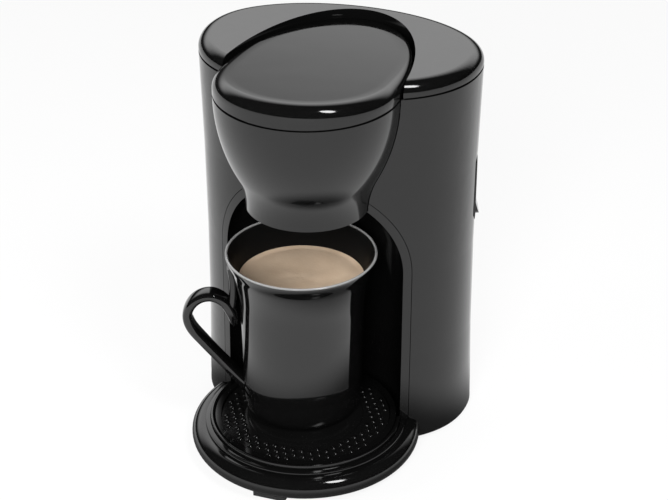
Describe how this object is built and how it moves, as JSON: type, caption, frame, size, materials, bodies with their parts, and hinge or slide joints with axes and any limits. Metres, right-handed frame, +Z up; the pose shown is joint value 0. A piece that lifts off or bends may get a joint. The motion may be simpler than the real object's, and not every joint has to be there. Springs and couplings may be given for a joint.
{
  "type": "drip coffee maker",
  "caption": "Single-cup drip coffee maker: oval tower with tank and heater, round brew head, arched cup niche, drip tray and matching mug.",
  "frame": {"origin": "floor point under the middle of the outer box", "axes": "+Z up, -Y towards the cup side (front), +X towards the switch side"},
  "size_m": [0.1461, 0.165, 0.2122],
  "materials": {
    "gloss_black": "polished black moulding",
    "satin_black": "satin black moulding with pips",
    "black_glaze": "glossy black glaze",
    "inner_plastic": "plain black moulding",
    "nylon_mesh": "natural nylon",
    "foot_rubber": "matt rubber",
    "silicone": "clear-white silicone hose",
    "heater_alloy": "drawn aluminium tube",
    "steel": "zinc plated steel",
    "fuse_ceramic": "unglazed ceramic"
  },
  "bodies": {
    "housing": {"tower_shell": "gloss_black", "niche_liner": "gloss_black", "base": "gloss_black", "bottom_cover": "inner_plastic", "cover_screws": "steel", "front_foot": "foot_rubber", "rear_feet": "foot_rubber", "brew_head": "gloss_black", "top_cover": "gloss_black", "water_tank": "inner_plastic", "heater_tube": "heater_alloy", "heating_element": "steel", "heater_brackets": "steel", "thermostat": "steel", "thermal_fuse": "fuse_ceramic", "tank_hose": "silicone", "check_valve": "nylon_mesh", "inlet_hose": "silicone", "riser_hose": "silicone", "cord_gland": "foot_rubber", "terminal_block": "nylon_mesh", "switch_bezel": "gloss_black", "switch_pin": "steel", "switch_body": "inner_plastic"},
    "lid": {"lid": "gloss_black", "water_guide": "inner_plastic"},
    "filter": {"filter_holder": "inner_plastic", "filter_mesh": "nylon_mesh", "filter_frame": "inner_plastic"},
    "rocker": {"switch_rocker": "gloss_black"},
    "drip_tray": {"drip_tray": "gloss_black"},
    "drip_plate": {"drip_plate": "satin_black"},
    "mug": {"mug": "black_glaze"}
  },
  "joints": [
    {"name": "lid_lift", "type": "slide", "parent": "housing", "child": "lid", "axis": [0, 0, 1], "range_m": [0, 0.12]},
    {"name": "filter_lift", "type": "slide", "parent": "housing", "child": "filter", "axis": [0, 0, 1], "range_m": [0, 0.06]},
    {"name": "switch_rock", "type": "hinge", "parent": "housing", "child": "rocker", "pos_m": [0.0637, 0.04339, 0.1335], "axis": [-0.3227, 0.9465, 0], "range_deg": [0, 14]},
    {"name": "tray_lift", "type": "slide", "parent": "housing", "child": "drip_tray", "axis": [0, 0, 1], "range_m": [0, 0.01]},
    {"name": "plate_lift", "type": "slide", "parent": "drip_tray", "child": "drip_plate", "axis": [0, 0, 1], "range_m": [0, 0.01]},
    {"name": "mug_out", "type": "slide", "parent": "drip_plate", "child": "mug", "axis": [0, -0.9659, 0.2588], "range_m": [0, 0.115]}
  ],
  "couplings": [
    {"joint": "filter_lift", "follows": "lid_lift", "ratio": 0.5}
  ]
}
